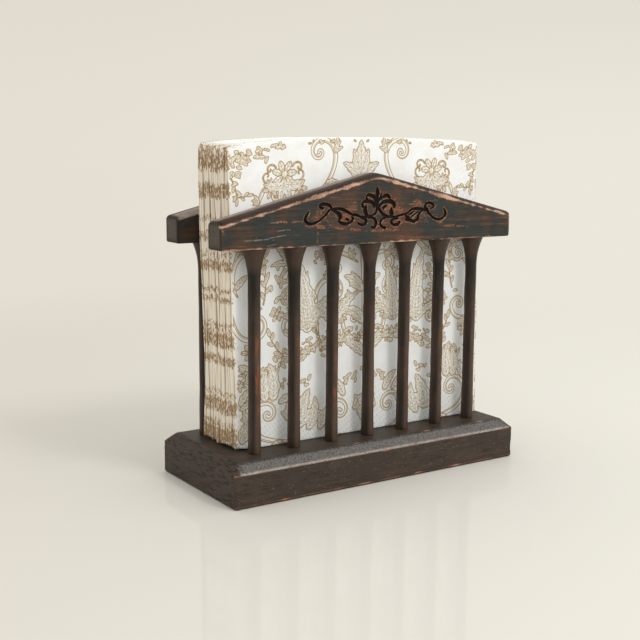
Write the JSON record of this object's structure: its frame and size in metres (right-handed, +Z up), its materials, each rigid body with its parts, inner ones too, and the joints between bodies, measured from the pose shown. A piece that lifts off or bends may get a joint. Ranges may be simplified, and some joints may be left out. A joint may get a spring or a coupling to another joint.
{
  "type": "napkin holder",
  "caption": "Upright table holder for folded paper napkins, shaped like a small colonnade: chamfered base, turned columns and gable bars, with a stack of napkins in the slot.",
  "frame": {"origin": "centre of the base block's underside, on the surface it stands on", "axes": "+X along the gables and the row of columns, to the right seen from the front; +Y from the front row to the back row; +Z up"},
  "size_m": [0.1906, 0.082, 0.1865],
  "materials": {
    "dark_wood": "dark stained wood, rubbed through to copper-brown at the edges, satin",
    "column_wood": "near-black stained turned wood, satin, lightly rubbed through",
    "paper": "soft white tissue with a tan line print"
  },
  "bodies": {
    "holder": {"base_block": "dark_wood", "front_pediment": "dark_wood", "back_pediment": "dark_wood", "front_column_1": "column_wood", "front_column_2": "column_wood", "front_column_3": "column_wood", "front_column_4": "column_wood", "front_column_5": "column_wood", "front_column_6": "column_wood", "front_column_7": "column_wood", "back_column_1": "column_wood", "back_column_2": "column_wood", "back_column_3": "column_wood", "back_column_4": "column_wood", "back_column_5": "column_wood", "back_column_6": "column_wood", "back_column_7": "column_wood"},
    "napkin_stack": {"napkin_02": "paper", "napkin_03": "paper", "napkin_04": "paper", "napkin_05": "paper", "napkin_06": "paper", "napkin_07": "paper", "napkin_08": "paper", "napkin_09": "paper", "napkin_10": "paper", "napkin_11": "paper", "napkin_12": "paper", "napkin_13": "paper", "napkin_14": "paper", "napkin_15": "paper", "napkin_16": "paper", "napkin_17": "paper", "napkin_18": "paper", "napkin_19": "paper", "napkin_20": "paper"},
    "front_napkin": {"napkin_01": "paper"}
  },
  "joints": [
    {"name": "lift_stack", "type": "slide", "parent": "holder", "child": "napkin_stack", "axis": [0, 0, 1], "range_m": [0, 0.15]},
    {"name": "pull_front_napkin", "type": "slide", "parent": "holder", "child": "front_napkin", "axis": [0, 0, 1], "range_m": [0, 0.15]}
  ]
}
